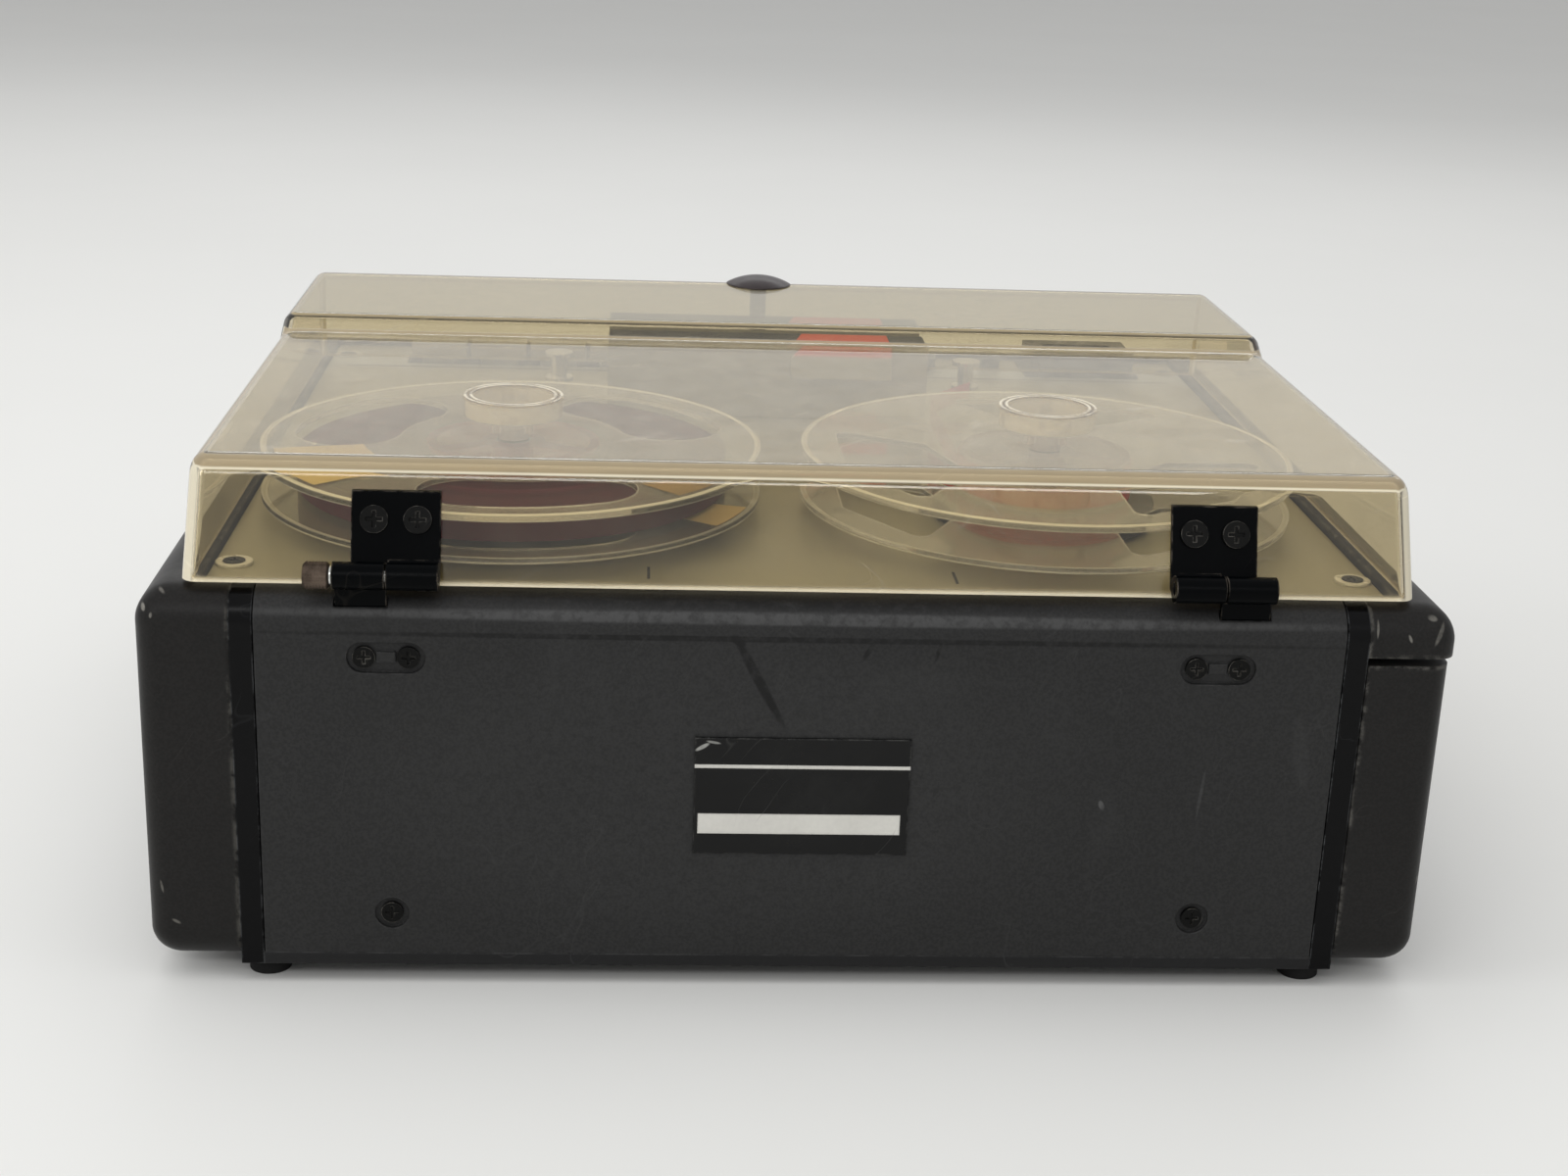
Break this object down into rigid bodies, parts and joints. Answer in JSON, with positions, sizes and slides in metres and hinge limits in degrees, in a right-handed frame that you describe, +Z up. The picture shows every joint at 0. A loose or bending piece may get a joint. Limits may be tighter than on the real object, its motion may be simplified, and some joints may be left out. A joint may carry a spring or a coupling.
{
  "type": "reel to reel tape deck",
  "caption": "Portable open-reel tape recorder with a hinged clear lid, spinning reels, capstan drive, piano keys, level controls, battery drawer and folding handle.",
  "frame": {"origin": "middle of the underside of the overall box, at the level of the feet", "axes": "+X to the machine's right seen from its front, -Y the front, +Y the back with the lid hinges, +Z up"},
  "size_m": [0.306, 0.2868, 0.1328],
  "materials": {
    "base_tray": "satin black",
    "rear_panel": "fine textured charcoal paint",
    "front_panel": "fine textured charcoal paint",
    "side_frames": "glossy black",
    "end_cap_right": "fine textured charcoal",
    "end_cap_left": "fine textured charcoal",
    "deck_plate": "satin pale olive",
    "chassis_plate": "plain grey",
    "label_plate": "glossy black",
    "case_screws": "blackened steel",
    "deck_eyelets": "bright",
    "case_hinge_leaves": "black, worn",
    "feet": "matte",
    "motor": "plain",
    "drive_belt": "matte",
    "speaker": "dark basket and paper cone",
    "circuit_board": "phenolic board",
    "heads": "polished",
    "head_cover": "dark blue grey",
    "cover_accent": "orange red",
    "catch_bracket": "plain",
    "meter_case": "black",
    "meter_window": "clear",
    "counter_case": "black",
    "sockets": "plated",
    "key_rail": "plain",
    "leader_tail": "red leader tape",
    "lid_shell": "clear amber smoke",
    "lid_hinge_leaves": "black, worn",
    "lid_screws": "blackened steel",
    "lid_catch": "black",
    "hinge_pin": "tarnished nickel",
    "drawer_cover": "fine textured charcoal",
    "battery_tray": "black",
    "battery_cells": "plain wrapped cells",
    "supply_table": "black with bright spindle",
    "supply_flanges": "frosted clear",
    "supply_hub": "frosted clear",
    "leader_wrap": "red leader tape",
    "takeup_table": "black with bright spindle",
    "takeup_flanges": "clear",
    "takeup_hub": "clear",
    "tape_pack": "brown tape edge",
    "flywheel": "turned",
    "motor_pulley": "turned",
    "pinch_arm": "plain",
    "pinch_roller": "matte",
    "counter_drums": "black drums with plain numbers",
    "counter_reset": "black",
    "speed_selector": "black",
    "record_level_knob": "satin",
    "volume_knob": "satin",
    "meter_needle": "red",
    "handle_bail": "bright",
    "handle_grip": "black",
    "key_record": "red",
    "key_rewind": "satin silver",
    "key_stop": "satin silver",
    "key_play": "satin silver",
    "key_forward": "satin silver"
  },
  "bodies": {
    "case": {"base_tray": "base_tray", "rear_panel": "rear_panel", "front_panel": "front_panel", "side_frames": "side_frames", "end_cap_right": "end_cap_right", "end_cap_left": "end_cap_left", "deck_plate": "deck_plate", "chassis_plate": "chassis_plate", "label_plate": "label_plate", "case_screws": "case_screws", "deck_eyelets": "deck_eyelets", "case_hinge_leaves": "case_hinge_leaves", "feet": "feet", "motor": "motor", "drive_belt": "drive_belt", "speaker": "speaker", "circuit_board": "circuit_board", "heads": "heads", "head_cover": "head_cover", "cover_accent": "cover_accent", "catch_bracket": "catch_bracket", "meter_case": "meter_case", "meter_window": "meter_window", "counter_case": "counter_case", "sockets": "sockets", "key_rail": "key_rail", "leader_tail": "leader_tail"},
    "lid": {"lid_shell": "lid_shell", "lid_hinge_leaves": "lid_hinge_leaves", "lid_screws": "lid_screws"},
    "lid_catch": {"lid_catch": "lid_catch"},
    "hinge_pin": {"hinge_pin": "hinge_pin"},
    "battery_drawer": {"drawer_cover": "drawer_cover", "battery_tray": "battery_tray", "battery_cells": "battery_cells"},
    "supply_reel": {"supply_table": "supply_table", "supply_flanges": "supply_flanges", "supply_hub": "supply_hub", "leader_wrap": "leader_wrap"},
    "takeup_reel": {"takeup_table": "takeup_table", "takeup_flanges": "takeup_flanges", "takeup_hub": "takeup_hub", "tape_pack": "tape_pack"},
    "capstan": {"flywheel": "flywheel"},
    "motor_rotor": {"motor_pulley": "motor_pulley"},
    "pinch_arm": {"pinch_arm": "pinch_arm"},
    "pinch_roller": {"pinch_roller": "pinch_roller"},
    "counter_drums": {"counter_drums": "counter_drums"},
    "counter_reset": {"counter_reset": "counter_reset"},
    "speed_selector": {"speed_selector": "speed_selector"},
    "record_level_knob": {"record_level_knob": "record_level_knob"},
    "volume_knob": {"volume_knob": "volume_knob"},
    "meter_needle": {"meter_needle": "meter_needle"},
    "handle": {"handle_bail": "handle_bail", "handle_grip": "handle_grip"},
    "key_record": {"key_record": "key_record"},
    "key_rewind": {"key_rewind": "key_rewind"},
    "key_stop": {"key_stop": "key_stop"},
    "key_play": {"key_play": "key_play"},
    "key_forward": {"key_forward": "key_forward"}
  },
  "joints": [
    {"name": "lid_hinge", "type": "hinge", "parent": "case", "child": "lid", "pos_m": [0, 0.14025, 0.1023], "axis": [-1, 0, 0], "range_deg": [0, 105]},
    {"name": "lid_catch_turn", "type": "hinge", "parent": "lid", "child": "lid_catch", "pos_m": [0.003, -0.07375, 0.13], "axis": [0, 0, 1], "range_deg": [0, 90]},
    {"name": "hinge_pin_pull", "type": "slide", "parent": "case", "child": "hinge_pin", "axis": [1, 0, 0], "range_m": [0, 0.024]},
    {"name": "battery_drawer_slide", "type": "slide", "parent": "case", "child": "battery_drawer", "axis": [-1, 0, 0], "range_m": [0, 0.075]},
    {"name": "supply_reel_spin", "type": "hinge", "parent": "case", "child": "supply_reel", "pos_m": [-0.066, 0.06225, 0.096], "axis": [0, 0, 1], "continuous": true},
    {"name": "takeup_reel_spin", "type": "hinge", "parent": "case", "child": "takeup_reel", "pos_m": [0.0716, 0.06225, 0.096], "axis": [0, 0, 1], "continuous": true},
    {"name": "capstan_spin", "type": "hinge", "parent": "case", "child": "capstan", "pos_m": [0.038, -0.04675, 0.096], "axis": [0, 0, 1], "continuous": true},
    {"name": "motor_spin", "type": "hinge", "parent": "case", "child": "motor_rotor", "pos_m": [-0.028, -0.06475, 0.06], "axis": [0, 0, 1], "continuous": true},
    {"name": "pinch_arm_swing", "type": "hinge", "parent": "case", "child": "pinch_arm", "pos_m": [0.016, -0.05875, 0.096], "axis": [0, 0, 1], "range_deg": [0, 9.5], "stiffness_Nm_per_rad": 0.05},
    {"name": "pinch_roller_spin", "type": "hinge", "parent": "pinch_arm", "child": "pinch_roller", "pos_m": [0.038, -0.05875, 0.1067], "axis": [0, 0, 1], "continuous": true},
    {"name": "key_record_press", "type": "hinge", "parent": "case", "child": "key_record", "pos_m": [0.028, -0.09675, 0.0892], "axis": [1, 0, 0], "range_deg": [0, 6], "stiffness_Nm_per_rad": 0.6},
    {"name": "key_rewind_press", "type": "hinge", "parent": "case", "child": "key_rewind", "pos_m": [0.028, -0.09675, 0.0892], "axis": [1, 0, 0], "range_deg": [0, 6], "stiffness_Nm_per_rad": 0.6},
    {"name": "key_stop_press", "type": "hinge", "parent": "case", "child": "key_stop", "pos_m": [0.028, -0.09675, 0.0892], "axis": [1, 0, 0], "range_deg": [0, 6], "stiffness_Nm_per_rad": 0.6},
    {"name": "key_play_press", "type": "hinge", "parent": "case", "child": "key_play", "pos_m": [0.028, -0.09675, 0.0892], "axis": [1, 0, 0], "range_deg": [0, 6], "stiffness_Nm_per_rad": 0.6},
    {"name": "key_forward_press", "type": "hinge", "parent": "case", "child": "key_forward", "pos_m": [0.028, -0.09675, 0.0892], "axis": [1, 0, 0], "range_deg": [0, 6], "stiffness_Nm_per_rad": 0.6},
    {"name": "counter_spin", "type": "hinge", "parent": "case", "child": "counter_drums", "pos_m": [-0.105, -0.10475, 0.0951], "axis": [1, 0, 0], "continuous": true},
    {"name": "counter_reset_press", "type": "slide", "parent": "case", "child": "counter_reset", "axis": [0, 0, -1], "range_m": [0, 0.003], "stiffness_N_per_m": 300},
    {"name": "speed_selector_turn", "type": "hinge", "parent": "case", "child": "speed_selector", "pos_m": [-0.048, -0.10475, 0.096], "axis": [0, 0, 1], "range_deg": [-30, 30]},
    {"name": "record_level_turn", "type": "hinge", "parent": "case", "child": "record_level_knob", "pos_m": [-0.058, -0.12975, 0.066], "axis": [0, 1, 0], "range_deg": [-140, 140]},
    {"name": "volume_turn", "type": "hinge", "parent": "case", "child": "volume_knob", "pos_m": [-0.09, -0.12975, 0.066], "axis": [0, 1, 0], "range_deg": [-140, 140]},
    {"name": "meter_needle_swing", "type": "hinge", "parent": "case", "child": "meter_needle", "pos_m": [0, -0.12475, 0.0565], "axis": [0, 1, 0], "range_deg": [0, 80], "stiffness_Nm_per_rad": 0.0005},
    {"name": "handle_swing", "type": "hinge", "parent": "case", "child": "handle", "pos_m": [0, -0.13695, 0.043], "axis": [-1, 0, 0], "range_deg": [0, 100]}
  ],
  "couplings": [
    {"joint": "motor_spin", "follows": "capstan_spin", "ratio": 6.5762},
    {"joint": "counter_spin", "follows": "takeup_reel_spin", "ratio": 0.1}
  ]
}
